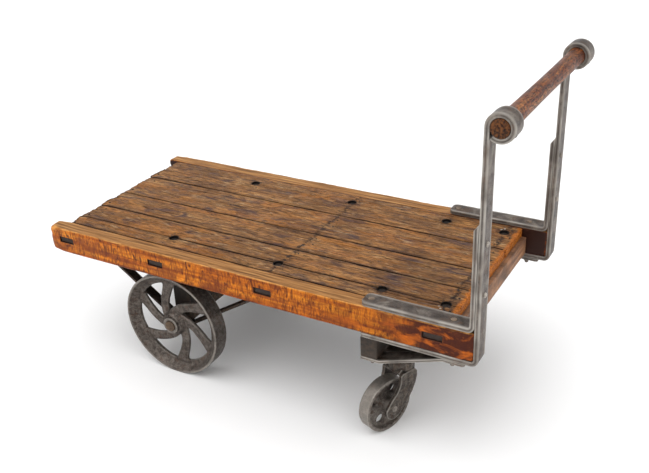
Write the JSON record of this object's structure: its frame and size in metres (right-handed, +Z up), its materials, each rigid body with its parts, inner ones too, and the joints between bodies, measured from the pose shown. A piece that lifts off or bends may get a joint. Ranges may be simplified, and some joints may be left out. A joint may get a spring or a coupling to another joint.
{
  "type": "industrial platform truck",
  "caption": "Antique industrial platform truck: plank deck between timber sills, bar handle on iron uprights, cast-iron wheels on a fixed axle and swivel casters.",
  "frame": {"origin": "on the floor, under the middle of the cart's outline", "axes": "+X towards the handle, +Y to the cart's left, +Z up"},
  "size_m": [1.3879, 0.6298, 0.9347],
  "materials": {
    "deck_wood": "worn, oiled deck boards with dark grain and stains",
    "sill_wood": "glossy amber varnish with dark mottling",
    "frame_wood": "dark brown rough timber",
    "grip_wood": "red-brown hand-polished dowel",
    "strap_iron": "worn grey wrought-iron bar, lighter at its edges",
    "stay_iron": "dark brown-grey flat bar",
    "cast_iron": "dark grey-brown rough casting",
    "axle_iron": "rusty brown turned bar"
  },
  "bodies": {
    "frame": {"side_sill_left": "sill_wood", "side_sill_right": "sill_wood", "deck_plank_1": "deck_wood", "deck_plank_2": "deck_wood", "deck_plank_3": "deck_wood", "deck_plank_4": "deck_wood", "deck_plank_5": "deck_wood", "cross_member_1": "frame_wood", "cross_member_2": "frame_wood", "cross_member_3": "frame_wood", "cross_member_4": "frame_wood", "axle_block": "frame_wood", "axle": "axle_iron", "axle_collar_left": "axle_iron", "axle_collar_right": "axle_iron", "axle_stay_left": "stay_iron", "axle_stay_right": "stay_iron", "caster_bolster": "frame_wood", "caster_board": "frame_wood", "caster_brace_left": "strap_iron", "caster_brace_right": "strap_iron", "caster_plate_left": "cast_iron", "caster_plate_right": "cast_iron", "handle_upright_left": "strap_iron", "handle_upright_right": "strap_iron", "handle_bracket_left": "strap_iron", "handle_bracket_right": "strap_iron", "handle_grip": "grip_wood"},
    "wheel_left": {"wheel_left": "cast_iron"},
    "wheel_right": {"wheel_right": "cast_iron"},
    "caster_left": {"caster_fork_left": "cast_iron", "caster_axle_left": "axle_iron"},
    "caster_right": {"caster_fork_right": "cast_iron", "caster_axle_right": "axle_iron"},
    "caster_wheel_left": {"caster_wheel_left": "cast_iron"},
    "caster_wheel_right": {"caster_wheel_right": "cast_iron"}
  },
  "joints": [
    {"name": "wheel_left_spin", "type": "hinge", "parent": "frame", "child": "wheel_left", "pos_m": [-0.28895, 0.2635, 0.159], "axis": [0, 1, 0], "continuous": true},
    {"name": "wheel_right_spin", "type": "hinge", "parent": "frame", "child": "wheel_right", "pos_m": [-0.28895, -0.2635, 0.159], "axis": [0, 1, 0], "continuous": true},
    {"name": "caster_left_swivel", "type": "hinge", "parent": "frame", "child": "caster_left", "pos_m": [0.38905, 0.182, 0.19], "axis": [0, 0, 1], "continuous": true},
    {"name": "caster_right_swivel", "type": "hinge", "parent": "frame", "child": "caster_right", "pos_m": [0.38905, -0.182, 0.19], "axis": [0, 0, 1], "continuous": true},
    {"name": "caster_left_spin", "type": "hinge", "parent": "caster_left", "child": "caster_wheel_left", "pos_m": [0.36755, 0.23801, 0.0765], "axis": [0.9336, 0.3584, 0], "continuous": true},
    {"name": "caster_right_spin", "type": "hinge", "parent": "caster_right", "child": "caster_wheel_right", "pos_m": [0.36755, -0.23801, 0.0765], "axis": [-0.9336, 0.3584, 0], "continuous": true}
  ]
}
